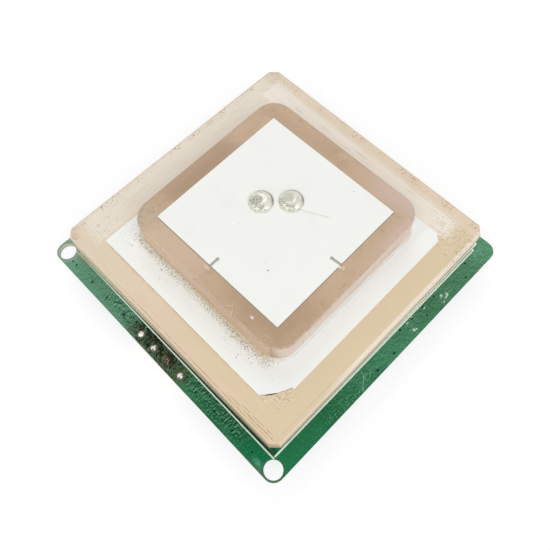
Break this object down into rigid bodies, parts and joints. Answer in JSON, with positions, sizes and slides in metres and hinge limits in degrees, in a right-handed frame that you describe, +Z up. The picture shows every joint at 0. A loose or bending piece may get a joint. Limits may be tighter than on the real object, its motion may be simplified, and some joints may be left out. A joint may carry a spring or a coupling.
{
  "type": "gps module",
  "caption": "Satellite positioning receiver: stacked ceramic patch antennas on a square circuit board, with a shielded receiver and a pin socket beneath.",
  "frame": {"origin": "on the resting plane, under the middle of the board", "axes": "+Z up out of the antennas, -Y towards the board edge with the two screw holes and the pin socket, +X to the right seen from above"},
  "size_m": [0.042, 0.042, 0.0132],
  "materials": {
    "board_laminate": "satin green solder mask",
    "legend_ink": "matte printed ink",
    "adhesive": "matte cured adhesive",
    "fired_silver": "matte white fired silver",
    "lower_tile": "matte fired ceramic, cream",
    "upper_tile": "matte fired ceramic, tan",
    "socket_plastic": "matte moulded",
    "tinned_sheet": "tinned sheet, satin",
    "moulding_compound": "matte moulded",
    "plated_cap": "thin gold plate, satin",
    "chip_ceramic": "matte fired ceramic with tinned ends",
    "cell_steel": "satin",
    "tinned_copper": "bright tin plate",
    "solder": "bright solder",
    "light_base": "matte",
    "light_lens": "clear moulded resin"
  },
  "bodies": {
    "root": {"backup_cell": "cell_steel", "cell_tab_over": "cell_steel", "cell_tab_under": "cell_steel", "chip_capacitors": "chip_ceramic", "circuit_board": "board_laminate", "clock_crystal": "plated_cap", "contact_solder_1": "solder", "contact_solder_2": "solder", "contact_solder_3": "solder", "contact_solder_4": "solder", "lower_adhesive": "adhesive", "lower_band_amplifier": "moulding_compound", "lower_band_coupler": "chip_ceramic", "lower_band_filter_1": "plated_cap", "lower_band_filter_2": "plated_cap", "lower_ceramic": "lower_tile", "lower_feed_pin_front": "tinned_copper", "lower_feed_pin_right": "tinned_copper", "lower_feed_solder_front": "solder", "lower_feed_solder_right": "solder", "lower_ground_coat": "fired_silver", "lower_patch": "fired_silver", "lower_tail_solder_front": "solder", "lower_tail_solder_right": "solder", "memory_chip": "moulding_compound", "outline_print": "legend_ink", "receiver_chip": "moulding_compound", "reference_oscillator": "plated_cap", "regulator_body": "moulding_compound", "regulator_leads": "tinned_copper", "shield_fence": "tinned_sheet", "shield_lid": "tinned_sheet", "socket_contact_1": "tinned_copper", "socket_contact_2": "tinned_copper", "socket_contact_3": "tinned_copper", "socket_contact_4": "tinned_copper", "socket_housing": "socket_plastic", "status_light_base": "light_base", "status_light_lens": "light_lens", "supply_capacitors": "chip_ceramic", "upper_adhesive": "adhesive", "upper_band_amplifier": "moulding_compound", "upper_band_coupler": "chip_ceramic", "upper_band_filter_1": "plated_cap", "upper_band_filter_2": "plated_cap", "upper_ceramic": "upper_tile", "upper_feed_pin_back": "tinned_copper", "upper_feed_pin_left": "tinned_copper", "upper_feed_solder_back": "solder", "upper_feed_solder_left": "solder", "upper_ground_coat": "fired_silver", "upper_patch": "fired_silver", "upper_tail_solder_back": "solder", "upper_tail_solder_left": "solder"}
  },
  "joints": []
}
